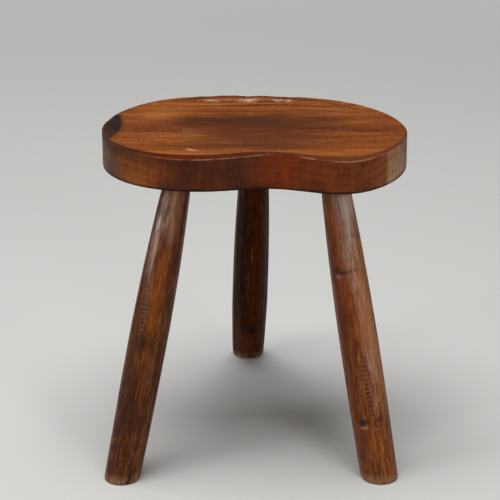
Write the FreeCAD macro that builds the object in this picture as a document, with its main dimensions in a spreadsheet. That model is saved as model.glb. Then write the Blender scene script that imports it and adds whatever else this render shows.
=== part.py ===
import FreeCAD, Part
import math
import os

import Sketcher

# Three-legged stool: a kidney-shaped plank seat on three round legs that rake outwards.
# Lengths are millimetres and angles are degrees. +X is to the right of someone who faces
# the hollow front of the seat, +Y is away from them, +Z is up. The floor is Z = 0, and the
# origin is on the floor below the middle of the stool.

os.makedirs("parts", exist_ok=True)
doc = FreeCAD.newDocument("three_legged_stool")

# The seat. Depths are measured from the line through its two ends, where it is widest. The
# sawn edge leans out below the waist, so the lower waist is deeper than the upper one.
SEAT_SIZES = {
    "seat_height": 330,
    "seat_thickness": 37,
    "half_width": 155,
    "back_depth": 113,
    "lobe_depth": 90,
    "waist_depth": 58,
    "lower_waist_depth": 64,
    "end_line_forward": 20.2,
    "bevel_drop": 3.5,
    "end_bevel": 1.5,
    "back_bevel": 1.5,
    "lobe_bevel": 6,
    "waist_bevel": 1.5,
    "underside_ease": 1,
}

# The blind joint that each leg makes with the seat: a tenon in a bored mortise, with a
# wedge in a saw kerf that the bottom of the mortise drives home.
JOINT_SIZES = {
    "tenon_diameter": 24,
    "tenon_length": 24,
    "tenon_lead": 1,
    "glue_line": 0.1,
    "mortise_end_gap": 0.5,
    "wedge_length": 17,
    "wedge_butt": 4.2,
    "wedge_tip": 1.4,
    "wedge_breadth": 21,
    "wedge_fit": 0.05,
    "kerf_end_gap": 0.6,
}

# The legs. The middle of a mortise's mouth lies on the seat's underside at a share of the
# half width across, and at a share of the seat's depth there back (+) or forward (-) from
# the end line. The rake is the lean from upright, and the heading is the compass direction
# of the foot, anticlockwise from +X.
LEG_SIZES = {
    "front_left": {
        "across_share": -0.493,
        "depth_share": -0.511,
        "heading": -124.9,
        "rake": 19.2,
        "top_diameter": 27.6,
        "belly_diameter": 39.8,
        "foot_diameter": 36.4,
        "belly_share": 0.54,
    },
    "front_right": {
        "across_share": 0.515,
        "depth_share": -0.511,
        "heading": -59.8,
        "rake": 17.9,
        "top_diameter": 28.6,
        "belly_diameter": 40,
        "foot_diameter": 37.8,
        "belly_share": 0.62,
    },
    "back": {
        "across_share": 0.005,
        "depth_share": 0.602,
        "heading": 94.3,
        "rake": 19.3,
        "top_diameter": 27.4,
        "belly_diameter": 40,
        "foot_diameter": 35.6,
        "belly_share": 0.7,
    },
}

# The depth of the seat that each leg's place follows.
LEG_DEPTHS = {"front_left": "lobe_depth", "front_right": "lobe_depth", "back": "back_depth"}

# What the three legs have in common, and the overrun of every cut past what it cuts. The
# leg's sections between the belly and its ends lie at shares of the way to the end.
SHARED_SIZES = {
    "near_station_share": 0.35,
    "far_station_share": 0.7,
    "foot_bevel": 2.5,
    "tenon_root": 8,
    "overrun": 5,
}
LEG_FLATS = 16

# The seat's outline is a smooth closed curve drawn by nine control points. Each lies at a
# share of the half width across, and at a share of a depth back (+) or forward (-).
OUTLINE_SHARES = {
    "back_middle": (0.12, 1.02, "back"),
    "back_left": (-0.72, 1.01, "back"),
    "left_end": (-1.11, 0.07, "back"),
    "left_corner": (-0.84, -0.82, "lobe"),
    "left_lobe": (-0.28, -1.03, "lobe"),
    "waist": (0.14, -1, "waist"),
    "right_lobe": (0.66, -1.29, "lobe"),
    "right_end": (1.155, -0.05, "lobe"),
    "back_right": (0.73, 0.86, "back"),
}


# The spreadsheet that drives everything

sheet = doc.addObject("Spreadsheet::Sheet", "sizes")


def add_cell(alias, value):
    """Write one named size on the next free row of the sheet."""
    add_cell.row += 1
    sheet.set(f"A{add_cell.row}", alias)
    sheet.set(f"B{add_cell.row}", str(value))
    sheet.setAlias(f"B{add_cell.row}", alias)


add_cell.row = 0
for group in (SEAT_SIZES, JOINT_SIZES, SHARED_SIZES):
    for alias, value in group.items():
        add_cell(alias, value)
for leg, sizes in LEG_SIZES.items():
    for alias, value in sizes.items():
        add_cell(f"{leg}_{alias}", value)
for point, (across_share, depth_share, depth) in OUTLINE_SHARES.items():
    add_cell(f"{point}_across_share", across_share)
    add_cell(f"{point}_depth_share", depth_share)
doc.recompute()


def size(alias):
    """The value of one named size."""
    return float(sheet.get(alias))


# The seat's underside, up from the floor, and the bottom of a mortise, up from its mouth.
UNDERSIDE_AT = size("seat_height") - size("seat_thickness")
UNDERSIDE_TEXT = "(sizes.seat_height - sizes.seat_thickness)"
BOTTOM_AT = size("tenon_length") + size("mortise_end_gap")
BOTTOM_TEXT = "(sizes.tenon_length + sizes.mortise_end_gap)"

# Two heights or places nearer than this are the same.
NEARNESS = 1e-4


# Helpers for bodies, sketches and checks

def new_body(label, placement):
    """A body whose place follows the sheet through the given expression."""
    body = doc.addObject("PartDesign::Body", label)
    body.Label = label
    body.setExpression("Placement", placement)
    return body


def new_sketch(body, name, plane_role, offset=None):
    """A sketch on one of the body's own origin planes, moved by an optional expression."""
    sketch = body.newObject("Sketcher::SketchObject", name)
    plane = next(f for f in body.Origin.OriginFeatures if f.Role == plane_role)
    sketch.AttachmentSupport = [(plane, "")]
    sketch.MapMode = "FlatFace"
    if offset:
        sketch.setExpression("AttachmentOffset", offset)
    return sketch


def placement_text(across="0", back="0", up="0", yaw="0", pitch="0"):
    """The expression of a placement: a shift, then a yaw about Z and a pitch about Y."""
    return (
        f"create(<<placement>>; create(<<vector>>; {across}; {back}; {up}); "
        f"create(<<rotation>>; {yaw}; {pitch}; 0))"
    )


def add_driven(sketch, name, constraint, expression):
    """Add a named constraint and tie it to the sheet."""
    index = sketch.addConstraint(constraint)
    sketch.renameConstraint(index, name)
    sketch.setExpression(f"Constraints.{name}", expression)


def place_point(sketch, name, geometry, spot, x, y, x_text, y_text):
    """Fix one point of the sketch at (x, y) from its origin, as the two expressions say."""
    for axis, value, text, zero_line in (("X", x, x_text, -2), ("Y", y, y_text, -1)):
        if abs(value) < NEARNESS:
            sketch.addConstraint(Sketcher.Constraint("PointOnObject", geometry, spot, zero_line))
        elif value > 0:
            gap = Sketcher.Constraint(f"Distance{axis}", -1, 1, geometry, spot, value)
            add_driven(sketch, f"{name}_{axis}", gap, text)
        else:
            gap = Sketcher.Constraint(f"Distance{axis}", geometry, spot, -1, 1, -value)
            add_driven(sketch, f"{name}_{axis}", gap, f"-({text})")


def draw_polygon(sketch, corners):
    """Straight lines round the corners, each given as (x, y, x expression, y expression)."""
    vectors = [FreeCAD.Vector(x, y, 0) for x, y, x_text, y_text in corners]
    lines = [
        sketch.addGeometry(Part.LineSegment(start, end))
        for start, end in zip(vectors, vectors[1:] + vectors[:1])
    ]
    for line, following in zip(lines, lines[1:] + lines[:1]):
        sketch.addConstraint(Sketcher.Constraint("Coincident", line, 2, following, 1))
    for line, corner in zip(lines, corners):
        place_point(sketch, f"corner_{line}", line, 1, *corner)


def draw_circle(sketch, radius, radius_text):
    """A circle about the sketch's origin."""
    circle = sketch.addGeometry(Part.Circle(FreeCAD.Vector(), FreeCAD.Vector(0, 0, 1), radius))
    sketch.addConstraint(Sketcher.Constraint("Coincident", circle, 3, -1, 1))
    add_driven(sketch, "radius", Sketcher.Constraint("Radius", circle, radius), radius_text)
    return circle


def volume_of(body):
    """The body's volume as it stands."""
    doc.recompute()
    return body.Shape.Volume


def check_cut(body, feature, before):
    """Stop if a cut has taken nothing away."""
    after = volume_of(body)
    if after >= before:
        raise RuntimeError(f"{feature.Name} cut nothing from {body.Label}")
    print(f"{body.Label}: {feature.Name} takes {before - after:.0f} mm3")


def edges_at(shape, test):
    """The names of the edges whose ends and middle all pass the test."""
    names = []
    for number, edge in enumerate(shape.Edges, 1):
        middle = edge.valueAt((edge.FirstParameter + edge.LastParameter) / 2)
        points = [vertex.Point for vertex in edge.Vertexes] + [middle]
        if all(test(point) for point in points):
            names.append(f"Edge{number}")
    return names


# The seat

# The four outlines that the plank's edge is ruled through, from the underside up: each with
# its height, the depth that its waist follows, and how far the ends, the back, the lobes
# and the waist are drawn in there.
OUTLINES = {
    "underside": (
        "0", "lower_waist_depth",
        dict.fromkeys(("end", "back", "lobe", "waist"), "underside_ease"),
    ),
    "lower_arris": ("sizes.underside_ease", "lower_waist_depth", {}),
    "upper_arris": ("sizes.seat_thickness - sizes.bevel_drop", "waist_depth", {}),
    "top": (
        "sizes.seat_thickness", "waist_depth",
        {"end": "end_bevel", "back": "back_bevel", "lobe": "lobe_bevel", "waist": "waist_bevel"},
    ),
}

# The curve is drawn in as many pieces as it has control points. Two pieces join at a mean of
# three control points, and the two handles of a piece are means of two, in these shares.
JOIN_SHARES = (1 / 6, 2 / 3, 1 / 6)
FIRST_HANDLE_SHARES = (2 / 3, 1 / 3)
SECOND_HANDLE_SHARES = (1 / 3, 2 / 3)


def drawn_in(alias, inset):
    """A named size, less a named inset if there is one, as a value and as an expression."""
    if inset is None:
        return size(alias), f"sizes.{alias}"
    return size(alias) - size(inset), f"(sizes.{alias} - sizes.{inset})"


def mean_of(points, shares):
    """The mean of points given as (x, y, x expression, y expression), in the given shares."""
    x, y = (sum(share * point[axis] for point, share in zip(points, shares)) for axis in (0, 1))
    x_text, y_text = (
        " + ".join(f"{share} * {point[axis]}" for point, share in zip(points, shares))
        for axis in (2, 3)
    )
    return x, y, x_text, y_text


def draw_outline(sketch, waist_depth, insets):
    """The kidney-shaped closed curve that its control points pull into shape."""
    half_width, half_width_text = drawn_in("half_width", insets.get("end"))
    controls = []
    for point, (across_share, depth_share, place) in OUTLINE_SHARES.items():
        depth_name = waist_depth if place == "waist" else f"{place}_depth"
        depth, depth_text = drawn_in(depth_name, insets.get(place))
        controls.append((
            across_share * half_width,
            depth_share * depth,
            f"sizes.{point}_across_share * {half_width_text}",
            f"sizes.{point}_depth_share * {depth_text}",
        ))
    curves = []
    following = controls[1:] + controls[:1]
    joins = [
        mean_of(three, JOIN_SHARES)
        for three in zip(controls[-1:] + controls[:-1], controls, following)
    ]
    for start, end, pair in zip(joins, joins[1:] + joins[:1], zip(controls, following)):
        corners = (
            start,
            mean_of(pair, FIRST_HANDLE_SHARES),
            mean_of(pair, SECOND_HANDLE_SHARES),
            end,
        )
        curve = Part.BSplineCurve()
        poles = [FreeCAD.Vector(x, y, 0) for x, y, x_text, y_text in corners]
        curve.buildFromPoles(poles, False, len(poles) - 1)
        curves.append(sketch.addGeometry(curve))
        sketch.exposeInternalGeometry(curves[-1])
        # The start and the handles show as circles after the curve, and their centres are
        # placed. The end is where the next piece starts.
        for step, corner in enumerate(corners[:-1], 1):
            place_point(sketch, f"pole_{curves[-1] + step}", curves[-1] + step, 3, *corner)
    for curve, next_curve in zip(curves, curves[1:] + curves[:1]):
        sketch.addConstraint(Sketcher.Constraint("Coincident", curve, 2, next_curve, 1))


# Where things stand. A leg's frame has its origin in the middle of its mortise's mouth and
# its +Z up the middle of its tenon, so that the foot leans out towards the frame's own +X.
SEAT_FRAME = placement_text(back="-sizes.end_line_forward", up=UNDERSIDE_TEXT)
LEG_FRAMES = {
    leg: placement_text(
        across=f"sizes.{leg}_across_share * sizes.half_width",
        back=f"sizes.{leg}_depth_share * sizes.{LEG_DEPTHS[leg]}",
        yaw=f"sizes.{leg}_heading",
        pitch=f"-sizes.{leg}_rake",
    )
    for leg in LEG_SIZES
}


def make_seat():
    """The plank: one ruled edge through its four outlines, and three raked blind mortises."""
    seat = new_body("seat", SEAT_FRAME)
    sketches = []
    for name, (height, waist_depth, insets) in OUTLINES.items():
        sketch = new_sketch(seat, f"{name}_outline", "XY_Plane", placement_text(up=height))
        draw_outline(sketch, waist_depth, insets)
        sketches.append(sketch)
    plank = seat.newObject("PartDesign::AdditiveLoft", "plank")
    plank.Profile = sketches[0]
    plank.Sections = [(sketch, [""]) for sketch in sketches[1:]]
    plank.Ruled = True

    bore = size("tenon_diameter") / 2 + size("glue_line")
    for leg in LEG_SIZES:
        before = volume_of(seat)
        mouth = new_sketch(seat, f"mortise_{leg}_circle", "XY_Plane", LEG_FRAMES[leg])
        draw_circle(mouth, bore, "sizes.tenon_diameter / 2 + sizes.glue_line")
        mortise = seat.newObject("PartDesign::Pocket", f"mortise_{leg}")
        mortise.Profile = mouth
        mortise.Reversed = True
        mortise.SideType = "Two sides"
        mortise.setExpression("Length", BOTTOM_TEXT)
        mortise.setExpression("Length2", "sizes.tenon_diameter + sizes.overrun")
        check_cut(seat, mortise, before)
    return seat


# The legs

def draw_flats(sketch, diameter, diameter_text):
    """A regular polygon whose flats touch a circle of the given diameter."""
    half_turn = math.pi / LEG_FLATS
    radius = diameter / 2 / math.cos(half_turn)
    guide = draw_circle(sketch, radius, f"{diameter_text} / 2 / cos(180 deg / {LEG_FLATS})")
    sketch.toggleConstruction(guide)
    corners = [
        FreeCAD.Vector(radius * math.cos(2 * half_turn * step), radius * math.sin(2 * half_turn * step), 0)
        for step in range(LEG_FLATS)
    ]
    flats = [
        sketch.addGeometry(Part.LineSegment(start, end))
        for start, end in zip(corners, corners[1:] + corners[:1])
    ]
    for flat, following in zip(flats, flats[1:] + flats[:1]):
        sketch.addConstraint(Sketcher.Constraint("Coincident", flat, 2, following, 1))
    for flat in flats[1:]:
        sketch.addConstraint(Sketcher.Constraint("Equal", flats[0], flat))
        sketch.addConstraint(Sketcher.Constraint("PointOnObject", flat, 1, guide))
    sketch.addConstraint(Sketcher.Constraint("PointOnObject", flats[0], 1, guide))
    sketch.addConstraint(Sketcher.Constraint("PointOnObject", flats[0], 1, -1))


def leg_sections(leg):
    """Height and diameter of each section of the leg, as values and as expressions."""
    length = UNDERSIDE_AT / math.cos(math.radians(size(f"{leg}_rake")))
    length_text = f"({UNDERSIDE_TEXT} / cos(sizes.{leg}_rake * 1 deg))"
    belly = size(f"{leg}_belly_diameter")
    belly_at = -size(f"{leg}_belly_share") * length
    belly_at_text = f"(-sizes.{leg}_belly_share * {length_text})"
    spare = belly + size("overrun")
    spare_text = f"(sizes.{leg}_belly_diameter + sizes.overrun)"

    # The leg swells along a parabola from each end to the belly, and both parabolas run on
    # past the neck and the foot, for the trims to cut through.
    sections = [(belly_at, belly_at_text, belly, f"sizes.{leg}_belly_diameter")]
    for end, end_at, end_at_text, past, past_text in (
        ("top", 0, "0", spare, spare_text),
        ("foot", -length, f"-{length_text}", -spare, f"-{spare_text}"),
    ):
        narrowing = belly - size(f"{leg}_{end}_diameter")
        narrowing_text = f"(sizes.{leg}_belly_diameter - sizes.{leg}_{end}_diameter)"
        reach, reach_text = end_at - belly_at, f"({end_at_text} - {belly_at_text})"
        for share, share_text in (
            (size("near_station_share"), "sizes.near_station_share"),
            (size("far_station_share"), "sizes.far_station_share"),
            (1 + past / reach, f"(1 + {past_text} / {reach_text})"),
        ):
            sections.append((
                belly_at + share * reach,
                f"{belly_at_text} + {share_text} * {reach_text}",
                belly - narrowing * share ** 2,
                f"(sizes.{leg}_belly_diameter - {narrowing_text} * {share_text}^2)",
            ))
    return sorted(sections)


def cut_with(body, name, sketch):
    """Cut right through the body, both ways from the sketch."""
    before = volume_of(body)
    cut = body.newObject("PartDesign::Pocket", name)
    cut.Profile = sketch
    cut.SideType = "Symmetric"
    cut.Type = "ThroughAll"
    check_cut(body, cut, before)
    return cut


def level_box(floor_side):
    """Corners of a box above the seat's underside or below the floor, in level axes."""
    reach, reach_text = UNDERSIDE_AT, UNDERSIDE_TEXT
    if floor_side:
        low, low_text = -(UNDERSIDE_AT + reach), f"-({UNDERSIDE_TEXT} + {reach_text})"
        high, high_text = -UNDERSIDE_AT, f"-{UNDERSIDE_TEXT}"
    else:
        low, low_text = 0, "0"
        high, high_text = reach, reach_text
    return (
        (-reach, low, f"-{reach_text}", low_text),
        (reach, low, reach_text, low_text),
        (reach, high, reach_text, high_text),
        (-reach, high, f"-{reach_text}", high_text),
    )


def wedge_taper(length, length_text, gap, gap_text):
    """Corners of the wedge's long section, from its butt down, widened by a gap."""
    low, low_text = BOTTOM_AT - length, f"({BOTTOM_TEXT} - {length_text})"
    slope = (size("wedge_butt") - size("wedge_tip")) / size("wedge_length")
    slope_text = "(sizes.wedge_butt - sizes.wedge_tip) / sizes.wedge_length"
    butt, butt_text = size("wedge_butt") / 2 + gap, f"(sizes.wedge_butt / 2 + {gap_text})"
    thin = (size("wedge_butt") - length * slope) / 2 + gap
    thin_text = f"((sizes.wedge_butt - {length_text} * {slope_text}) / 2 + {gap_text})"
    return (
        (-thin, low, f"-{thin_text}", low_text),
        (thin, low, thin_text, low_text),
        (butt, BOTTOM_AT, butt_text, BOTTOM_TEXT),
        (-butt, BOTTOM_AT, f"-{butt_text}", BOTTOM_TEXT),
    )


def make_leg(leg):
    """A shaved leg with a scribed shoulder, a flat foot, a round tenon and a saw kerf."""
    body = new_body(f"leg_{leg}", f"{SEAT_FRAME} * {LEG_FRAMES[leg]}")
    sketches = []
    for number, (height, height_text, diameter, diameter_text) in enumerate(leg_sections(leg)):
        section = new_sketch(body, f"section_{number}_{leg}", "XY_Plane", placement_text(up=height_text))
        draw_flats(section, diameter, diameter_text)
        sketches.append(section)
    shaft = body.newObject("PartDesign::AdditiveLoft", f"shaft_{leg}")
    shaft.Profile = sketches[0]
    shaft.Sections = [(sketch, [""]) for sketch in sketches[1:]]
    shaft.Ruled = True

    # The trims are drawn in level axes: the sketch is turned back by the rake.
    level = placement_text(yaw=f"-sizes.{leg}_rake")
    for name, floor_side in (("shoulder", False), ("foot", True)):
        box = new_sketch(body, f"{name}_box_{leg}", "XZ_Plane", level)
        draw_polygon(box, level_box(floor_side))
        cut = cut_with(body, f"{name}_{leg}", box)

    # The foot's rim is the ring of edges on the floor plane.
    rake = math.radians(size(f"{leg}_rake"))
    up = FreeCAD.Vector(math.sin(rake), 0, math.cos(rake))
    rim = edges_at(cut.Shape, lambda point: abs(point.dot(up) + UNDERSIDE_AT) < NEARNESS)
    eased = body.newObject("PartDesign::Chamfer", f"foot_rim_{leg}")
    eased.Base = (cut, rim)
    eased.setExpression("Size", "sizes.foot_bevel")

    root = placement_text(up="-sizes.tenon_root")
    circle_sketch = new_sketch(body, f"tenon_circle_{leg}", "XY_Plane", root)
    draw_circle(circle_sketch, size("tenon_diameter") / 2, "sizes.tenon_diameter / 2")
    tenon = body.newObject("PartDesign::Pad", f"tenon_{leg}")
    tenon.Profile = circle_sketch
    tenon.setExpression("Length", "sizes.tenon_root + sizes.tenon_length")
    doc.recompute()

    end = edges_at(tenon.Shape, lambda point: abs(point.z - size("tenon_length")) < NEARNESS)
    lead = body.newObject("PartDesign::Chamfer", f"tenon_lead_{leg}")
    lead.Base = (tenon, end)
    lead.setExpression("Size", "sizes.tenon_lead")

    # The kerf runs across the grain of the seat, so that its wedge can't split the plank.
    turned = placement_text(pitch=f"-sizes.{leg}_heading")
    kerf_sketch = new_sketch(body, f"kerf_section_{leg}", "XZ_Plane", turned)
    kerf_length = size("wedge_length") + size("kerf_end_gap")
    kerf_length_text = "(sizes.wedge_length + sizes.kerf_end_gap)"
    fit = size("wedge_fit")
    draw_polygon(kerf_sketch, wedge_taper(kerf_length, kerf_length_text, fit, "sizes.wedge_fit"))
    cut_with(body, f"kerf_{leg}", kerf_sketch)
    return body


def make_wedge(leg):
    """The fox wedge: its butt is on the bottom of the mortise, its thin end in the kerf."""
    body = new_body(f"wedge_{leg}", f"{SEAT_FRAME} * {LEG_FRAMES[leg]}")
    turned = placement_text(pitch=f"-sizes.{leg}_heading")
    section = new_sketch(body, f"wedge_section_{leg}", "XZ_Plane", turned)
    draw_polygon(section, wedge_taper(size("wedge_length"), "sizes.wedge_length", 0, "0"))
    block = body.newObject("PartDesign::Pad", f"wedge_block_{leg}")
    block.Profile = section
    block.SideType = "Symmetric"
    block.setExpression("Length", "sizes.wedge_breadth")
    return body


pieces = [make_seat()]
pieces += [make_leg(leg) for leg in LEG_SIZES]
pieces += [make_wedge(leg) for leg in LEG_SIZES]
doc.recompute()

for thing in doc.Objects:
    if "Invalid" in thing.State or "Error" in thing.State:
        raise RuntimeError(f"{thing.Name} failed: {thing.State}")
for piece in pieces:
    if piece.Shape.isNull() or not piece.Shape.isValid() or len(piece.Shape.Solids) != 1:
        raise RuntimeError(f"{piece.Label} isn't one valid solid")

for piece in pieces:
    piece.Shape.exportStep(f"parts/{piece.Label}.step")
    box = piece.Shape.optimalBoundingBox()
    print(
        f"{piece.Label}: X {box.XMin:.2f} to {box.XMax:.2f}, Y {box.YMin:.2f} to {box.YMax:.2f}, "
        f"Z {box.ZMin:.2f} to {box.ZMax:.2f}, {piece.Shape.Volume:.0f} mm3"
    )
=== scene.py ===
# %% [markdown]
# # A three-legged stool with a kidney-shaped seat
#
# This lesson dresses a imported CAD model. The solids fix every size and place. Here they get
# the shapes that a drawknife, a saw and years of use leave, and the wood's own colours.
#
# One thick plank is sawn to a kidney shape, and three shaved legs stand in blind holes under
# it. We load the solids first.

# %% Load the solids
import math
import random

import bmesh
import bpy
from mathutils import Matrix, Vector, noise


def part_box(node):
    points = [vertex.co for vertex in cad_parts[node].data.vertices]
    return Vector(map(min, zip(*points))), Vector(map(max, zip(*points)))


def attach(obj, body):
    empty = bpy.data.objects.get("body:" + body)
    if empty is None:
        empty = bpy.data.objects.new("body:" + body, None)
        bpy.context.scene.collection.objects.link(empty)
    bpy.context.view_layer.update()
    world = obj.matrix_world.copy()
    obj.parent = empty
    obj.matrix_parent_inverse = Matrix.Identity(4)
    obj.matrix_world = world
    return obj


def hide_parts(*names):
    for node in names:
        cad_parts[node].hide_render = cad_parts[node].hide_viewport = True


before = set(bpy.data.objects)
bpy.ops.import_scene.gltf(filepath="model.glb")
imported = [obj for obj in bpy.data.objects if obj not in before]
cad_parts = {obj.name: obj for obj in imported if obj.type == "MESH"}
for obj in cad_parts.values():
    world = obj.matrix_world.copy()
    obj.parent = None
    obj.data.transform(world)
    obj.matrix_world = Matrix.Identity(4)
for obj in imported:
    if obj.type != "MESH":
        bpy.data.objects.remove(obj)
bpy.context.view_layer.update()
MM = 0.001
print("solids:", ", ".join(sorted(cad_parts)))

# %% [markdown]
# ## The camera
#
# The photograph looks down on the stool from the front, and its legs hardly converge. A
# short lens close by would spread them and show more of the top. So the camera stands two
# metres away and has a long lens. The picture is square.

# %% Camera
LENS = 140.66
LOOKS_DOWN = 22.16
camera_data = bpy.data.cameras.new("camera")
camera_data.sensor_width = 36
camera_data.lens = LENS
camera_data.clip_end = 50
camera = bpy.data.objects.new("camera", camera_data)
camera.location = (-0.0046, -1.9049, 0.9646)
camera.rotation_euler = (math.radians(90 - LOOKS_DOWN), 0, 0)
bpy.context.scene.collection.objects.link(camera)
bpy.context.scene.camera = camera
print("camera:", LENS, "mm lens, looks down by", LOOKS_DOWN, "degrees")

# %% [markdown]
# ## Nodes
#
# A material is a tree of nodes. We could add and link each one by hand, but this stool needs
# hundreds. Two short helpers keep the steps readable: one gives a socket a value or a link,
# and the other adds a node and fills its inputs by name.

# %% Helpers for nodes
def wire(socket, value):
    """Link a socket to an input, or set the input to a value."""
    if isinstance(value, bpy.types.NodeSocket):
        value.id_data.links.new(value, socket)
    else:
        socket.default_value = value


def new_node(tree, kind, **values):
    """Add a node, and fill its inputs by name."""
    node = tree.nodes.new("ShaderNode" + kind)
    for name, value in values.items():
        wire(node.inputs[name.replace("_", " ")], value)
    return node


print("node helpers ready")

# %% [markdown]
# ## The floor
#
# A plain pale floor takes the stool's soft shadow. A small floor would show its border, so
# it is a large grid with one face. Towards the distance it fades into the pale grey of the
# background, and no horizon shows. The fade is a glow that only the camera sees, by Light
# Path's Is Camera Ray, so it throws no light on the stool.

# %% Floor
FLOOR_REACH = 12
floor_shape = bmesh.new()
bmesh.ops.create_grid(floor_shape, x_segments=1, y_segments=1, size=FLOOR_REACH)
floor_mesh = bpy.data.meshes.new("floor")
floor_shape.to_mesh(floor_mesh)
floor_shape.free()
floor = bpy.data.objects.new("floor", floor_mesh)
bpy.context.scene.collection.objects.link(floor)
print("floor:", 2 * FLOOR_REACH, "metres wide")

# %% The floor's paint
BACKDROP = (0.62, 0.62, 0.61, 1)
FADE_START = 0.7
FADE_END = 3.0
floor_paint = bpy.data.materials.new("floor_paint")
floor_paint.use_nodes = True
floor_mesh.materials.append(floor_paint)
ground = floor_paint.node_tree
floor_surface = ground.nodes["Principled BSDF"]
floor_surface.inputs["Base Color"].default_value = (0.68, 0.68, 0.665, 1)
floor_surface.inputs["Roughness"].default_value = 0.7
away = new_node(ground, "VectorMath", Vector=new_node(ground, "TexCoord").outputs["Object"])
away.operation = "LENGTH"
far = new_node(
    ground, "MapRange", Value=away.outputs["Value"], From_Min=FADE_START, From_Max=FADE_END,
)
far.interpolation_type = "SMOOTHSTEP"
haze = new_node(ground, "Math", Value=far.outputs[0])
haze.operation = "MULTIPLY"
wire(haze.inputs[1], new_node(ground, "LightPath").outputs["Is Camera Ray"])
glow = new_node(ground, "Emission", Color=BACKDROP, Strength=1.0)
blend = new_node(ground, "MixShader", Fac=haze.outputs[0])
wire(blend.inputs[1], floor_surface.outputs[0])
wire(blend.inputs[2], glow.outputs[0])
wire(ground.nodes["Material Output"].inputs["Surface"], blend.outputs[0])
print("floor fades out from", FADE_START, "to", FADE_END, "metres")

# %% [markdown]
# ## Lamps and world
#
# In the photograph the top is brighter than the front, and the shadows are soft. A sun lamp
# would draw hard shadows, and a bright world alone would leave none. So one wide lamp hangs
# above the stool, and two small ones in front, at the left and the right, brush along the
# legs. The world only fills the shadows. The camera sees it as plain pale grey.

# %% Lamps
LAMPS = (
    # name, place, the point that it faces, size, watts
    ("lamp_above", (-0.2, 0.0, 2.6), (0, 0, 0.2), 1.8, 60),
    ("lamp_left", (-2.3, -1.1, 1.25), (0, 0, 0.15), 0.9, 13),
    ("lamp_right", (1.3, -2.2, 1.2), (0, 0, 0.15), 0.8, 10),
)
for name, place, target, size, watts in LAMPS:
    lamp = bpy.data.lights.new(name, "AREA")
    lamp.size = size
    lamp.energy = watts
    stand = bpy.data.objects.new(name, lamp)
    stand.location = place
    stand.rotation_euler = (Vector(target) - Vector(place)).to_track_quat("-Z", "Y").to_euler()
    bpy.context.scene.collection.objects.link(stand)
    print(name, watts, "watts")

# %% World
WORLD_LIGHT = 0.1
world = bpy.data.worlds.new("studio")
bpy.context.scene.world = world
world.use_nodes = True
sky = world.node_tree
sky.nodes.clear()
lit = new_node(sky, "Background", Color=(1, 0.97, 0.93, 1), Strength=WORLD_LIGHT)
seen = new_node(sky, "Background", Color=BACKDROP, Strength=1.0)
chosen = new_node(sky, "MixShader", Fac=new_node(sky, "LightPath").outputs["Is Camera Ray"])
wire(chosen.inputs[1], lit.outputs[0])
wire(chosen.inputs[2], seen.outputs[0])
new_node(sky, "OutputWorld", Surface=chosen.outputs[0])
bpy.context.scene.view_settings.view_transform = "Standard"
print("world lights the stool at", WORLD_LIGHT)

# %% [markdown]
# ## The outline of the seat
#
# The maker drew the kidney by eye: a long bow at the back, two round ends and a hollow at
# the front. We could join arcs, but their joints would show. A smooth closed curve needs
# only nine control points, and Blender's NURBS curve of order 4 follows them just as the
# solid's outline does. The points are shares of the half width and of the depth there.

# %% The outline as points
HALF_WIDTH = 155 * MM
BACK_DEPTH = 113 * MM
LOBE_DEPTH = 90 * MM
WAIST_DEPTH = 58 * MM
LOWER_WAIST_DEPTH = 64 * MM
END_LINE = -20.2 * MM
RING_STEPS = 18
CONTROL_SHARES = (
    # across, deep, and which depth it is a share of
    (0.12, 1.02, "back"),
    (-0.72, 1.01, "back"),
    (-1.11, 0.07, "back"),
    (-0.84, -0.82, "lobe"),
    (-0.28, -1.03, "lobe"),
    (0.14, -1, "waist"),
    (0.66, -1.29, "lobe"),
    (1.155, -0.05, "lobe"),
    (0.73, 0.86, "back"),
)


def outline_points(waist_depth):
    """The outline as points in order round the seat."""
    depths = {"back": BACK_DEPTH, "lobe": LOBE_DEPTH, "waist": waist_depth}
    curve = bpy.data.curves.new("outline", "CURVE")
    curve.dimensions = "3D"
    spline = curve.splines.new("NURBS")
    spline.points.add(len(CONTROL_SHARES) - 1)
    for point, (across, deep, place) in zip(spline.points, CONTROL_SHARES):
        point.co = (across * HALF_WIDTH, deep * depths[place] + END_LINE, 0, 1)
    spline.order_u = 4
    spline.use_cyclic_u = True
    spline.resolution_u = RING_STEPS
    holder = bpy.data.objects.new("outline", curve)
    mesh = bpy.data.meshes.new_from_object(holder)
    points = [vertex.co.xy for vertex in mesh.vertices]
    bpy.data.objects.remove(holder)
    bpy.data.curves.remove(curve)
    bpy.data.meshes.remove(mesh)
    return points


upper = outline_points(WAIST_DEPTH)
lower = outline_points(LOWER_WAIST_DEPTH)
if sum(a.cross(b) for a, b in zip(upper, upper[1:] + upper[:1])) < 0:
    upper.reverse()
    lower.reverse()
print("outline:", len(upper), "points, right end at", round(max(p.x for p in upper) / MM, 1), "mm")

# %% [markdown]
# ## The bevel
#
# The seat is one thick board. Its edge is sawn square to the face, but leans out below the
# hollow, and a bevel takes down the top arris. The bevel was cut by eye: wide on the two
# front lobes, narrow in the hollow, and almost nothing at the left end. One width would look
# machined, so we note the width in a few directions and read a smooth curve through them.

# %% Width of the bevel round the seat
BEVEL_STOPS = (
    # degrees round the seat, where 0 is the right end and -90 the front, and millimetres
    (-180, 1.0),
    (-150, 2.6),
    (-124, 4.3),
    (-98, 3.9),
    (-74, 2.3),
    (-50, 4.3),
    (-32, 3.2),
    (-8, 2.0),
    (60, 1.3),
    (180, 1.0),
)


def between(stops, at):
    """Read a smooth curve through (place, value) stops."""
    for (start, low), (end, high) in zip(stops, stops[1:]):
        if at <= end:
            share = (1 - math.cos(math.pi * (at - start) / (end - start))) / 2
            return low + (high - low) * share
    return stops[-1][1]


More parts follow.
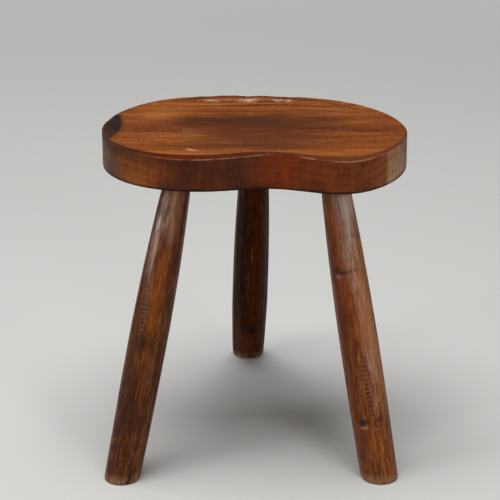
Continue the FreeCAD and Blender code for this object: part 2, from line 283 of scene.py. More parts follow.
def bevel_at(place):
    """The bevel's width towards one point of the outline."""
    return between(BEVEL_STOPS, math.degrees(math.atan2(place.y, place.x))) * MM


widths = [bevel_at(place) for place in upper]
print("bevel:", round(min(widths) / MM, 1), "to", round(max(widths) / MM, 1), "mm wide")

# %% [markdown]
# ## The edge of the plank
#
# We could bevel a block, but Blender's bevel has one width. So the edge is a stack of rings:
# each is extruded from the one below and moved to its place, and the top ring steps inwards
# by as much as the bevel is wide there. A saw never follows its line quite, so a noise pushes
# the edge in by up to 0.7 mm.

# %% Raise one ring from another
def inward(points):
    """The unit vector into the seat at each point of a ring."""
    for before, after in zip(points[-1:] + points[:-1], points[1:] + points[:1]):
        along = (after - before).normalized()
        yield Vector((-along.y, along.x))


def ring_edges(shape, ring):
    """The edges that join the vertices of a ring."""
    return [shape.edges.get(pair) for pair in zip(ring, ring[1:] + ring[:1])]


def raise_ring(shape, ring, places):
    """Extrude a ring of vertices, and move the new ring to the given places."""
    made = bmesh.ops.extrude_edge_only(shape, edges=ring_edges(shape, ring))["geom"]
    fresh = {item for item in made if isinstance(item, bmesh.types.BMVert)}
    raised = []
    for vertex, place in zip(ring, places):
        ends = [edge.other_vert(vertex) for edge in vertex.link_edges]
        raised.append(next(end for end in ends if end in fresh))
        raised[-1].co = place
    return raised


print("ring tools ready")

# %% Rings of the edge, from the underside up
SEAT_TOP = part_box("seat")[1].z
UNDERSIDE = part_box("seat")[0].z
SAW_WOBBLE = 0.35 * MM
EASED_ARRIS = 0.6 * MM
RIM_DROP = 0.1 * MM
EDGE_SHARES = (0.02, 0.2, 0.4, 0.6, 0.8, 1)


def edge_places(share):
    """The points of the sawn edge at a share of its height."""
    for low, high, width, normal in zip(lower, upper, widths, inward(upper)):
        place = low.lerp(high, share)
        height = UNDERSIDE + (SEAT_TOP - UNDERSIDE - width) * share
        wobble = noise.noise((place.x * 25, place.y * 25, height * 40)) * SAW_WOBBLE
        yield (*(place + normal * (SAW_WOBBLE + wobble)), height)


seat_shape = bmesh.new()
ring = list(bmesh.ops.create_circle(seat_shape, segments=len(lower), radius=1)["verts"])
for vertex, place, normal in zip(ring, lower, inward(lower)):
    vertex.co = (*(place + normal * EASED_ARRIS), UNDERSIDE)
edge_rings = [ring]
for share in EDGE_SHARES:
    edge_rings.append(raise_ring(seat_shape, edge_rings[-1], edge_places(share)))
rim = [
    place + normal * (width + SAW_WOBBLE)
    for place, width, normal in zip(upper, widths, inward(upper))
]
rim_ring = raise_ring(seat_shape, edge_rings[-1], [(*place, SEAT_TOP - RIM_DROP) for place in rim])
print("edge rings:", len(edge_rings) + 1, "of", len(rim), "points")

# %% [markdown]
# ## The top of the plank
#
# One flat face would close the top, but a planed and worn board is slightly hollow, and it
# ripples where the plane dug in. So the rim is extruded inwards in ever smaller rings, which
# give the top enough points for that. The underside stays flat and needs one face.

# %% Close the top and the underside
TOP_SHARES = (0.985, 0.955, 0.9, 0.82, 0.72, 0.6, 0.47, 0.33, 0.19, 0.07)
SEAT_MIDDLE = Vector((0, -5 * MM))
TOP_DROP = 0.3 * MM
HOLLOW = 0.6 * MM
RIPPLE = 0.25 * MM


def top_place(place, share):
    """A point of the top, sunk a little where the board is worn."""
    flat = SEAT_MIDDLE.lerp(place, share)
    worn = HOLLOW * (1 - share ** 2)
    ripple = noise.noise((flat.x * 14, flat.y * 22, 0.5)) * RIPPLE * (1 - share ** 6)
    return (*flat, SEAT_TOP - TOP_DROP - worn - ripple)


ring = rim_ring
for share in TOP_SHARES:
    ring = raise_ring(seat_shape, ring, [top_place(place, share) for place in rim])
for loop in (ring, edge_rings[0]):
    bmesh.ops.contextual_create(seat_shape, geom=loop)
bmesh.ops.recalc_face_normals(seat_shape, faces=seat_shape.faces)
print("plank closed:", all(edge.is_manifold for edge in seat_shape.edges))

# %% [markdown]
# ## Chips and arrises
#
# The rim lost a few chips at the back and one at the left end. Cutting them out would need
# many small solids, and a chip is shallow, so we press the rim's points down there. Then the
# sharp edges are rounded, because no arris of a used stool is sharp.

# %% Chips and arrises
CHIPS = (
    # across, deep, reach, depth
    (-66, 86, 9, 0.5),
    (-47, 87, 9, 0.7),
    (-7, 90, 10, 0.8),
    (24, 88, 9, 0.6),
    (38, 86, 9, 0.6),
    (-150, 12, 10, 0.6),
)
CHIP_ZONE = 2 * MM


def soften(shape, edges, width, segments):
    """Round some edges."""
    bmesh.ops.bevel(
        shape, geom=edges, offset=width, offset_type="OFFSET", segments=segments,
        profile=0.5, affect="EDGES", material=-1, clamp_overlap=True,
    )


for across, deep, reach, depth in CHIPS:
    for vertex in seat_shape.verts:
        gap = (vertex.co.xy - Vector((across, deep)) * MM).length / (reach * MM)
        if vertex.co.z > SEAT_TOP - CHIP_ZONE and gap < 1:
            vertex.co.z -= depth * MM * (1 - gap ** 2)
for ring, width in ((rim_ring, 0.4), (edge_rings[-1], 0.4), (edge_rings[1], 0.5)):
    soften(seat_shape, ring_edges(seat_shape, ring), width * MM, 2)
print("plank:", len(seat_shape.faces), "faces")

# %% [markdown]
# ## The legs
#
# Each leg is a branch that was shaved with a drawknife. It is thin at the top, swells to
# its thickest place below the middle, and narrows again to the foot. The knife leaves long
# narrow flats, which wander and never have quite the same breadth. In the photograph they
# show as bright and dark stripes that run down the leg.
#
# A cone would be too straight, and a turned shape too round. So a leg starts as a ring with
# as many corners as it has flats, and is extruded station by station. The leg is built
# upright about its own axis, and a matrix leans it into place at the end.

# %% Sizes and frames of the legs
LEGS = {
    # lengths in millimetres, angles in degrees
    "front_left": {
        "mouth": (-76.4, -66.2), "heading": -124.9, "rake": 19.2,
        "top": 27.6, "belly": 39.8, "foot": 36.4, "belly_share": 0.54, "seed": 3,
    },
    "front_right": {
        "mouth": (79.8, -66.2), "heading": -59.8, "rake": 17.9,
        "top": 28.6, "belly": 40.0, "foot": 37.8, "belly_share": 0.62, "seed": 5,
    },
    "back": {
        "mouth": (0.8, 47.8), "heading": 94.3, "rake": 19.3,
        "top": 27.4, "belly": 40.0, "foot": 35.6, "belly_share": 0.7, "seed": 8,
    },
}


def leg_frame(leg):
    """The matrix that takes a leg from its own upright axis to its place."""
    facts = LEGS[leg]
    across, back = facts["mouth"]
    return (
        Matrix.Translation((across * MM, back * MM, UNDERSIDE))
        @ Matrix.Rotation(math.radians(facts["heading"]), 4, "Z")
        @ Matrix.Rotation(math.radians(-facts["rake"]), 4, "Y")
    )


def leg_length(leg):
    """From the seat's underside to the floor, along the leg's axis."""
    return UNDERSIDE / math.cos(math.radians(LEGS[leg]["rake"]))


def leg_radius(leg, height):
    """The leg's radius at a height on its own axis, where the seat's underside is zero."""
    facts = LEGS[leg]
    belly_at = -facts["belly_share"] * leg_length(leg)
    end, end_at = (facts["top"], 0) if height > belly_at else (facts["foot"], -leg_length(leg))
    share = (height - belly_at) / (end_at - belly_at)
    return (facts["belly"] - (facts["belly"] - end) * share ** 2) / 2 * MM


for leg in LEGS:
    foot = leg_frame(leg) @ Vector((0, 0, -leg_length(leg)))
    print(leg, "foot at", [round(value / MM) for value in foot])

# %% [markdown]
# ## Flats
#
# The corners of the ring are set a little unevenly at random, and a noise lets them drift
# along the leg, because a knife never keeps its line. The long edges between the flats are
# rounded, as hands have done. The bar is made too long at both ends, to be sawn off later.

# %% A shaved shaft
FLATS = 16
STATIONS = 34
UNEVEN = 0.22
DRIFT = 0.07
SWELL = 0.008
WORN_CORNER = 1.2 * MM
SPARE_TOP = 14 * MM
SPARE_FOOT = 22 * MM


def shaft_places(leg, turns, height):
    """The corners of the shaft at one station."""
    for step, turn in enumerate(turns):
        turn += noise.noise((step * 3.7, LEGS[leg]["seed"], height * 14)) * DRIFT
        swell = noise.noise((step * 3.7, 7.1, height * 22)) * SWELL
        reach = leg_radius(leg, height) * (1 - SWELL / 2 + swell)
        yield (reach * math.cos(turn), reach * math.sin(turn), height)


def shaved_shaft(leg):
    """The tapered bar with wandering flats, too long at both ends."""
    random.seed(LEGS[leg]["seed"])
    turns = [
        2 * math.pi * (step + random.uniform(-UNEVEN, UNEVEN)) / FLATS for step in range(FLATS)
    ]
    high, low = SPARE_TOP, -leg_length(leg) - SPARE_FOOT
    shape = bmesh.new()
    ring = list(bmesh.ops.create_circle(shape, segments=FLATS, radius=1)["verts"])
    for vertex, place in zip(ring, shaft_places(leg, turns, high)):
        vertex.co = place
    for station in range(1, STATIONS + 1):
        height = high + (low - high) * station / STATIONS
        ring = raise_ring(shape, ring, shaft_places(leg, turns, height))
    bmesh.ops.holes_fill(shape, edges=shape.edges)
    long_edges = [
        edge for edge in shape.edges
        if abs(edge.verts[0].co.z - edge.verts[1].co.z) > MM
    ]
    soften(shape, long_edges, WORN_CORNER, 3)
    return shape


leg_shapes = {leg: shaved_shaft(leg) for leg in LEGS}
for leg, shape in leg_shapes.items():
    print(leg, "shaft has", len(shape.faces), "faces")

# %% [markdown]
# ## Foot and tenon
#
# Two ends are left to shape. The foot is sawn level with the floor, and its rim is worn
# round. Blender's bevel would stop at the narrow faces between the flats, so we saw a little
# higher and push the end out in four shrinking steps. At the top a scribed shoulder bears on
# the seat, and inside it stands the round tenon.

# %% Saw off and push out
def trim(shape, place, normal):
    """Saw the shape off flat, and return the face that the saw leaves."""
    cut = bmesh.ops.bisect_plane(
        shape, geom=shape.verts[:] + shape.edges[:] + shape.faces[:],
        plane_co=place, plane_no=normal, clear_outer=True,
    )["geom_cut"]
    edges = [item for item in cut if isinstance(item, bmesh.types.BMEdge)]
    return bmesh.ops.edgeloop_fill(shape, edges=edges)["faces"][0]


def push_out(shape, face, move):
    """Extrude a face, move each of its corners, and return the new face."""
    made = bmesh.ops.extrude_face_region(shape, geom=[face])["geom"]
    bmesh.ops.delete(shape, geom=[face], context="FACES_ONLY")
    face = next(item for item in made if isinstance(item, bmesh.types.BMFace))
    for vertex in face.verts:
        vertex.co = move(vertex.co)
    return face


print("tools ready: saw off, push out")

# %% Shape the foot and the tenon
WORN_RIM = (
    # how far down and how much narrower, in millimetres
    (1.2, 0.15),
    (2.2, 0.6),
    (3.0, 1.4),
    (3.4, 2.6),
)
TENON = 12 * MM
TENON_LENGTH = 24 * MM
LEAD = 1 * MM


def shape_foot(shape, up):
    """Saw the foot, and round its rim by the steps of WORN_RIM."""
    face = trim(shape, -up * (UNDERSIDE - WORN_RIM[-1][0] * MM), -up)
    done, lost = 0, 0
    for drop, loss in WORN_RIM:
        middle = face.calc_center_median()
        reach = sum((corner.co - middle).length for corner in face.verts) / len(face.verts)
        fall = Vector((0, 0, -(drop - done) * MM / up.z))
        shrink = 1 - (loss - lost) * MM / reach
        face = push_out(shape, face, lambda place: middle + (place - middle) * shrink + fall)
        done, lost = drop, loss


def on_tenon(place, radius=TENON):
    """The point of the tenon's round towards a place."""
    return place.xy.normalized() * radius


def shape_tenon(shape, up):
    """Cut the shoulder along the seat's underside, and stand the tenon on it."""
    shoulder = trim(shape, (0, 0, 0), up)
    bmesh.ops.inset_region(shape, faces=[shoulder], thickness=1 * MM)
    for vertex in shoulder.verts:
        across, deep = on_tenon(vertex.co)
        vertex.co = (across, deep, -across * up.x / up.z)
    end = push_out(shape, shoulder, lambda place: (*on_tenon(place), TENON_LENGTH - LEAD))
    push_out(shape, end, lambda place: (*on_tenon(place, TENON - LEAD), TENON_LENGTH))


for leg, shape in leg_shapes.items():
    rake = math.radians(LEGS[leg]["rake"])
    up = Vector((math.sin(rake), 0, math.cos(rake)))
    shape_foot(shape, up)
    shape_tenon(shape, up)
    bmesh.ops.recalc_face_normals(shape, faces=shape.faces)
    print(leg, "closed:", all(edge.is_manifold for edge in shape.edges))

# %% [markdown]
# ## Mortises and kerfs
#
# The tenons end inside the plank, so the plank needs three bored holes, and each tenon a
# saw kerf for its hidden wedge. These cuts never show, but with them the pieces can be
# taken apart in a drawing. To weld holes into the rings by hand would be slow. A Boolean
# modifier cuts them, and we keep the mesh that it makes.

# %% Tools that cut
def to_object(shape, name):
    """Turn a bmesh into an object."""
    mesh = bpy.data.meshes.new(name)
    shape.to_mesh(mesh)
    shape.free()
    piece = bpy.data.objects.new(name, mesh)
    bpy.context.scene.collection.objects.link(piece)
    return piece


def cut_away(piece, cutter_shape):
    """Cut a bmesh out of a piece."""
    cutter = to_object(cutter_shape, "cutter")
    boolean = piece.modifiers.new("cut", "BOOLEAN")
    boolean.object = cutter
    boolean.operation = "DIFFERENCE"
    boolean.solver = "EXACT"
    cut_piece = piece.evaluated_get(bpy.context.evaluated_depsgraph_get())
    mesh = bpy.data.meshes.new_from_object(cut_piece)
    piece.modifiers.remove(boolean)
    piece.data = mesh
    bpy.data.objects.remove(cutter)


print("cutting tools ready")

# %% The drill and the saw
MORTISE = 12.1 * MM
MORTISE_DEPTH = 24.5 * MM
DRILL_START = -20 * MM
KERF_START = 6.9 * MM
KERF_END = 28 * MM
KERF_WIDTH = 1.4 * MM
KERF_TAPER = 0.165
KERF_REACH = 30 * MM


def bore(leg):
    """A drill as wide as the mortise, from under the seat to the mortise's bottom."""
    shape = bmesh.new()
    bmesh.ops.create_cone(
        shape, cap_ends=True, segments=48, radius1=MORTISE, radius2=MORTISE,
        depth=MORTISE_DEPTH - DRILL_START,
        matrix=leg_frame(leg) @ Matrix.Translation((0, 0, (MORTISE_DEPTH + DRILL_START) / 2)),
    )
    return shape


def kerf(leg):
    """A thin tapered block, right through the tenon across the seat's grain."""
    shape = bmesh.new()
    bmesh.ops.create_cube(shape, size=1)
    for vertex in shape.verts:
        height = KERF_END if vertex.co.z > 0 else KERF_START
        breadth = KERF_WIDTH + (height - KERF_START) * KERF_TAPER
        vertex.co = (vertex.co.x * breadth, vertex.co.y * KERF_REACH, height)
    turn = Matrix.Rotation(math.radians(-LEGS[leg]["heading"]), 4, "Z")
    shape.transform(leg_frame(leg) @ turn)
    return shape


seat = to_object(seat_shape, "seat_plank")
legs = {}
for leg, shape in leg_shapes.items():
    shape.transform(leg_frame(leg))
    legs[leg] = to_object(shape, f"shaved_leg_{leg}")
    cut_away(legs[leg], kerf(leg))
    cut_away(seat, bore(leg))
for piece in (seat, *legs.values()):
    print(piece.name, "has", len(piece.data.polygons), "faces after the cuts")

# %% [markdown]
# ## Wood, in general
#
# Blender has no wood texture, so we build one from noise that is stretched along the grain:
# broad streaks, narrow streaks and fine fibres. Their sum runs through a colour ramp, and the
# streaks and fibres also make the bump. Every pattern reads Object coordinates in metres, so
# the grain has its true size, and the helpers take sizes in millimetres, which are easier to
# think in. A socket knows its own node tree, so the helpers need no tree.

# %% Sums and masks
def calc(how, first, *others):
    """A Math node. The first value is a socket."""
    node = first.id_data.nodes.new("ShaderNodeMath")
    node.operation = how
    for socket, value in zip(node.inputs, (first, *others)):
        wire(socket, value)
    return node.outputs[0]


def weigh(*parts):
    """Add up (socket, weight) pairs."""
    total = 0.0
    for socket, weight in parts:
        total = calc("MULTIPLY_ADD", socket, weight, total)
    return total


def soft_step(value, low, high):
    """A mask that is 0 up to low and 1 from high on, with a smooth rise between them."""
    node = new_node(value.id_data, "MapRange", Value=value, From_Min=low, From_Max=high)
    node.interpolation_type = "SMOOTHSTEP"
    return node.outputs[0]


print("sums and masks ready")

# %% Colours
def paint(red, green, blue):
    """A colour as a picture gives it, from 0 to 255, made linear for the shader."""
    def linear(value):
        value /= 255
        return value / 12.92 if value <= 0.04045 else ((value + 0.055) / 1.055) ** 2.4
    return (linear(red), linear(green), linear(blue), 1)


def mix_colour(share, first, second, how="MIX"):
    """Lay the second colour over the first. The first is a socket."""
    node = first.id_data.nodes.new("ShaderNodeMix")
    node.data_type = "RGBA"
    node.blend_type = how
    for number, value in ((0, share), (6, first), (7, second)):
        wire(node.inputs[number], value)
    return node.outputs[2]


def lay(colour, tint, mask, strength):
    """Lay a paint over the colour where the mask is, and as strongly as asked."""
    return mix_colour(calc("MULTIPLY", mask, strength), colour, paint(*tint))


def ramp(value, *stops):
    """A colour ramp through stops of a place, red, green and blue."""
    node = value.id_data.nodes.new("ShaderNodeValToRGB")
    elements = node.color_ramp.elements
    elements.remove(elements[1])
    for number, (place, *tint) in enumerate(stops):
        element = elements[0] if number == 0 else elements.new(place)
        element.position = place
        element.color = paint(*tint)
    wire(node.inputs[0], value)
    return node.outputs[0]


print("brown as the shader sees it:", [round(value, 3) for value in paint(130, 75, 36)])

# %% Streaks and spots
def noise_in(place, size, shift, detail=3.0, bend=0.0):
    """Noise with lumps of a size in millimetres along x, y and z. A shift makes it another."""
    scaled = new_node(
        place.id_data, "Mapping", Vector=place, Location=(shift, 0.7 * shift, 0.3 * shift),
        Scale=[1 / (value * MM) for value in size],
    )
    return new_node(
        place.id_data, "TexNoise", Vector=scaled.outputs[0], Scale=1.0, Detail=detail,
        Roughness=0.55, Distortion=bend,
    ).outputs[0]


def spot(place, centre, radii, soft, turn=0.0, ragged=None):
    """A mask that is 1 inside an ellipsoid, and fades over the given share of its radii."""
    mapping = new_node(
        place.id_data, "Mapping", Vector=place, Location=[value * MM for value in centre],
        Rotation=(0, 0, math.radians(turn)), Scale=[value * MM for value in radii],
    )
    mapping.vector_type = "TEXTURE"
    length = place.id_data.nodes.new("ShaderNodeVectorMath")
    length.operation = "LENGTH"
    wire(length.inputs[0], mapping.outputs[0])
    reach = length.outputs["Value"]
    if ragged is not None:
        reach = calc("ADD", reach, ragged)
    return soft_step(reach, 1 + soft, 1 - soft)


print("streaks and spots ready")

# %% Start and finish a wood
def start_wood(name, gloss):
    """A new wood material, and the Object coordinates that its patterns read."""
    material = bpy.data.materials.new(name)
    material.use_nodes = True
    surface = material.node_tree.nodes["Principled BSDF"]
    surface.inputs["Specular IOR Level"].default_value = gloss
    return material, new_node(material.node_tree, "TexCoord").outputs["Object"]


def finish_wood(material, colour, height, depth, shiny, dull):
    """Connect the colour, a bump of a depth in millimetres, and roughness by the grain."""
    surface = material.node_tree.nodes["Principled BSDF"]
    bump = new_node(material.node_tree, "Bump", Height=height, Distance=depth * MM)
    wire(surface.inputs["Normal"], bump.outputs[0])
    wire(surface.inputs["Base Color"], colour)
    wire(surface.inputs["Roughness"], calc("MULTIPLY_ADD", height, shiny - dull, dull))
    print(material.name, "has", len(material.node_tree.nodes), "nodes")


print("wood helpers ready")

# %% [markdown]
# ## The figure of the plank
#
# The board was cut beside the heart of the log, with its grain from end to end. The growth
# rings are circles about a line below the board, so on the top they show as long bands and on
# the ends as arcs. A picture of wood wrapped round the seat would break at every edge. So all
# four woods of the seat read this one figure, and its bands run on from face to face.

# %% The grain of the plank
HEART = Vector((0, -45 * MM, 150 * MM))


def plank_figure(place):
    """The grain: a value around 0.5 for the colour, and one for the height."""
    turned = new_node(place.id_data, "Mapping", Vector=place, Location=-HEART)
    wave = new_node(
        place.id_data, "TexWave", Vector=turned.outputs[0], Scale=38.0, Distortion=3.0,
        Detail=1.0, Detail_Scale=6.0,
    )
    wave.wave_type = "RINGS"
    wave.rings_direction = "X"
    broad = noise_in(place, (150, 14, 14), 3.1)
    narrow = noise_in(place, (60, 3, 3), 8.4, bend=0.4)
    fibre = noise_in(place, (14, 0.8, 0.8), 1.7)
    tone = weigh((wave.outputs["Fac"], 0.14), (broad, 0.36), (narrow, 0.34), (fibre, 0.16))
    height = weigh((narrow, 0.45), (fibre, 0.55))
    return tone, height


print("heart of the log:", round((UNDERSIDE - HEART.z) / MM), "mm below the plank")

# %% [markdown]
# ## The top
#
# Years of sitting have darkened the middle of the top to an oval, while its ends kept the
# orange brown of the old stain. A thin check runs along the grain at the right, and at the
# left there are a scratch and the dent of something round. The back edge lost a few chips,
# which show pale wood. One noise could scatter such marks, but not put them where they are.
# So each is a spot: a soft ellipse at its real place, in millimetres, with a ragged border.

# %% Stains of the top
TOP_STAINS = (
    # tint, strength, centre, radii, softness, turn
    ((82, 41, 19), 0.85, (2, 2), (82, 36), 0.75, 0),
    ((84, 42, 20), 0.85, (4, -50), (66, 32), 0.8, 0),
    ((54, 28, 16), 0.65, (-60, 6), (24, 11), 0.9, 0),
    ((54, 28, 16), 0.55, (-4, 6), (34, 13), 0.9, 0),
    ((56, 30, 17), 0.5, (68, 8), (30, 9), 0.9, -2),
    ((154, 92, 42), 0.5, (-98, 36), (30, 20), 0.7, 25),
    ((146, 86, 40), 0.35, (96, 38), (40, 18), 0.7, -20),
    ((112, 56, 24), 0.4, (-128, -40), (22, 16), 0.7, 0),
    ((168, 104, 50), 0.45, (-100, 26), (16, 12), 0.8, 0),
    ((104, 54, 25), 0.5, (138, 2), (26, 30), 0.8, 0),
)
print(len(TOP_STAINS), "stains on the top")

# %% Scars and chips of the top
TOP_SCARS = (
    ((48, 23, 12), 0.75, (80, -19.5), (66, 1.4), 0.8, -5.7),
    ((56, 28, 14), 0.75, (16, 62), (52, 1.8), 0.8, 3),
    ((56, 28, 14), 0.75, (70, 54), (42, 1.6), 0.8, -10),
    ((56, 28, 14), 0.7, (84, 38), (38, 1.5), 0.8, -12),
    ((60, 30, 16), 0.6, (34, 30), (40, 1.4), 0.8, 2),
    ((206, 160, 124), 0.95, (-63, -83), (4.8, 2.2), 0.7, -27),
    ((158, 108, 72), 0.4, (-68, -24), (5.8, 6.6), 0.2, 0),
    ((96, 52, 27), 0.6, (-68, -24), (4.2, 4.6), 0.25, 0),
    ((40, 22, 14), 0.9, (-64, 81), (17, 3.4), 0.7, 14),
    ((66, 40, 26), 0.5, (-16, 86), (34, 3.4), 0.7, 2),
    ((50, 30, 20), 0.85, (38, 82), (26, 3.6), 0.7, -12),
    ((56, 32, 20), 0.6, (84, 62), (24, 2.6), 0.7, -33),
    ((54, 28, 15), 0.7, (10, 70), (26, 1.8), 0.7, 0),
    ((54, 28, 15), 0.6, (-34, 69), (22, 1.6), 0.7, 3),
)
TOP_CHIPS = (
    ((200, 160, 134), 0.75, (-45, 75.5), (7, 3.4), 0.7, -3),
    ((176, 132, 100), 0.45, (-28, 78), (8, 3), 0.8, 0),
    ((208, 176, 150), 0.85, (-6, 76), (8, 5), 0.7, 4),
    ((200, 164, 136), 0.75, (25, 76), (4.5, 3.6), 0.7, -8),
    ((200, 164, 136), 0.75, (36, 74.5), (4, 4), 0.7, -8),
)
MARK_HEIGHT = 50


def marked(place, colour, marks, ragged):
    """Lay each mark over the colour, inside an ellipsoid about the top's height."""
    for tint, strength, centre, radii, soft, turn in marks:
        centre = (*centre, SEAT_TOP / MM)
        mask = spot(place, centre, (*radii, MARK_HEIGHT), soft, turn, ragged)
        colour = lay(colour, tint, mask, strength)
    return colour


print(len(TOP_SCARS), "scars and", len(TOP_CHIPS), "chips on the top")

# %% [markdown]
# ## The burnt end
#
# The left end was burnt: the wood is charred there, browner towards the front, and a narrow
# scorched line surrounds it. A black spot would look painted on, so the char keeps the
# grain's own lights and darks, and it stops short of the rim, where hands rubbed it off. The
# distance from the outline comes from an attribute that the seat gets when we dress it.

# %% The burn
BURN = (-160, -6, SEAT_TOP / MM)
BROWNER = (-154, -30, SEAT_TOP / MM)


def rim_distance(material):
    """How far a point of the seat is from the outline, in metres."""
    node = new_node(material.node_tree, "Attribute")
    node.attribute_name = "inset"
    return node.outputs["Fac"]


def burnt(place, colour, tone, inset, torn):
    """The colour with the burn laid over it."""
    crumbly = calc("MULTIPLY_ADD", noise_in(place, (7, 7, 7), 2.2), 0.2, -0.1)
    scorched = spot(place, BURN, (27, 60, 60), 0.1, ragged=crumbly)
    colour = lay(colour, (66, 33, 18), scorched, 0.4)
    charred = spot(place, BURN, (24, 53, 60), 0.04, ragged=crumbly)
    charred = calc("MULTIPLY", charred, soft_step(inset, 1.6 * MM, 2.6 * MM))
    charcoal = ramp(tone, (0.35, 26, 19, 15), (0.6, 52, 38, 29), (0.75, 92, 70, 54))
    browner = spot(place, BROWNER, (11, 22, 60), 0.7, ragged=torn)
    charcoal = lay(charcoal, (84, 48, 34), browner, 0.5)
    return mix_colour(charred, colour, charcoal)


print("burn at", BURN[:2], "mm")

# %% The top's wood
def top_wood():
    """The planed and worn top, with fine combed lines along its grain."""
    material, place = start_wood("seat_top_wood", gloss=0.1)
    tone, height = plank_figure(place)
    colour = ramp(tone, (0.34, 92, 45, 17), (0.5, 132, 70, 27), (0.66, 156, 94, 42))
    combed = noise_in(place, (46, 2.6, 2.6), 12.6, detail=4.0)
    lines = ramp(combed, (0.36, 128, 118, 110), (0.64, 244, 236, 226))
    colour = mix_colour(0.25, colour, lines, "OVERLAY")
    streaky = calc("MULTIPLY_ADD", noise_in(place, (36, 6, 36), 5.5), 1.8, -0.9)
    colour = marked(place, colour, TOP_STAINS, streaky)
    torn = calc("MULTIPLY_ADD", noise_in(place, (4.5, 1.8, 4.5), 7.7), 3.6, -1.7)
    colour = marked(place, colour, TOP_SCARS, torn)
    splintered = noise_in(place, (4, 1.3, 4), 2.4, detail=5.0)
    splintered = calc("MULTIPLY_ADD", splintered, 7.0, -3.3)
    colour = marked(place, colour, TOP_CHIPS, splintered)
    inset = rim_distance(material)
    colour = burnt(place, colour, tone, inset, torn)
    colour = lay(colour, (84, 38, 16), soft_step(inset, 3.0 * MM, 1.2 * MM), 0.55)
    finish_wood(material, colour, height, depth=0.12, shiny=0.36, dull=0.62)
    return material


top_material = top_wood()

# %% [markdown]
# ## The sawn edge
#
# The edge took the stain unevenly. From the left it is orange brown, then dark chocolate in
# the hollow, then red and brown, and at the right end the pale tan of sapwood. At both ends a
# painted sheen greys it, where the end grain catches the light at a glancing angle. One colour
# with noise would lose that order, so the colour is read along the seat from a ramp, and a
# coarse noise bends its borders. Upright saw marks cross it. Painted shade darkens it under the
# bevel at the left and the right end, and along the lower arris. The back is plainer.

# %% Colours along the edge
ALONG_EDGE = (
    # place from left to right, and paint
    # the greyish browns at 0, 0.04 and 0.99 are painted sheen, where the end grain catches the
    # light
    (0.0, 110, 82, 66),
    (0.04, 104, 69, 47),
    (0.07, 138, 78, 32),
    (0.14, 154, 84, 29),
    (0.2, 122, 60, 21),
    (0.27, 84, 40, 17),
    (0.44, 82, 41, 19),
    (0.53, 110, 47, 16),
    (0.6, 126, 51, 13),
    (0.68, 114, 53, 19),
    (0.8, 118, 58, 21),
    (0.9, 140, 76, 30),
    (0.925, 146, 90, 46),
    (0.94, 178, 134, 96),
    (0.975, 184, 142, 108),
    (0.99, 138, 102, 84),
)


def along_seat(place, wander):
    """Where a point lies from the left end to the right end, from 0 to 1, bent by noise."""
    across = new_node(place.id_data, "SeparateXYZ", Vector=place).outputs["X"]
    straight = calc("MULTIPLY_ADD", across, 1 / (2 * HALF_WIDTH), 0.5)
    bent = calc("MULTIPLY_ADD", noise_in(place, (14, 14, 50), 4.4), wander, -wander / 2)
    return calc("ADD", straight, bent)


print(len(ALONG_EDGE), "colours along the edge")

# %% The edge's wood
EDGE_BLOTCHES = (
    # size, shift, strength, tint
    (26, 9.1, 0.4, (62, 30, 15)),
    (12, 3.7, 0.25, (58, 28, 13)),
    (15, 6.3, 0.22, (150, 70, 24)),
)


def painted_edge_shade(colour, along, up, uneven):
    """The edge's colour with painted shade at its upper corners and along the lower arris."""
    # painted shade under the bevel at the left
    shade = soft_step(up, SEAT_TOP - 17 * MM, SEAT_TOP - 6 * MM)
    shade = calc("MULTIPLY", shade, soft_step(along, 0.36, 0.24))
    colour = lay(colour, (66, 32, 16), shade, 0.62)
    # painted shade at the upper right end
    shade = soft_step(up, SEAT_TOP - 28 * MM, SEAT_TOP - 12 * MM)
    shade = calc("MULTIPLY", shade, soft_step(along, 0.95, 0.985))
    colour = lay(colour, (126, 92, 82), shade, 0.7)
    # painted shade along the lower arris, with a wavy border
    wavy = calc("ADD", up, calc("MULTIPLY_ADD", uneven, 5 * MM, -2.5 * MM))
    arris_shade = soft_step(wavy, UNDERSIDE + 3.6 * MM, UNDERSIDE + 0.6 * MM)
    return lay(colour, (26, 11, 6), arris_shade, 0.9)


def edge_wood():
    """The sawn edge."""
    material, place = start_wood("seat_edge_wood", gloss=0.14)
    tone, height = plank_figure(place)
    along = along_seat(place, 0.07)
    colour = ramp(along, *ALONG_EDGE)
    apart = new_node(material.node_tree, "SeparateXYZ", Vector=place)
    plain = ramp(noise_in(place, (60, 30, 20), 2.9), (0.35, 92, 48, 23), (0.65, 128, 74, 36))
    colour = mix_colour(soft_step(apart.outputs["Y"], 10 * MM, 40 * MM), colour, plain)
    figure = ramp(tone, (0.3, 120, 104, 92), (0.5, 188, 188, 188), (0.7, 226, 214, 200))
    colour = mix_colour(0.5, colour, figure, "OVERLAY")
    sawn = noise_in(place, (2.2, 2.2, 45), 5.6)
    lines = ramp(sawn, (0.32, 128, 118, 110), (0.68, 236, 228, 220))
    colour = mix_colour(0.3, colour, lines, "OVERLAY")
    for size, shift, strength, tint in EDGE_BLOTCHES:
        blotch = soft_step(noise_in(place, (size, size, 1.2 * size), shift), 0.48, 0.72)
        colour = lay(colour, tint, blotch, strength)
    colour = painted_edge_shade(colour, along, apart.outputs["Z"], noise_in(place, (24, 24, 8), 7.3))
    height = weigh((height, 0.7), (sawn, 0.3))
    finish_wood(material, colour, height, depth=0.2, shiny=0.4, dull=0.62)
    return material


edge_material = edge_wood()
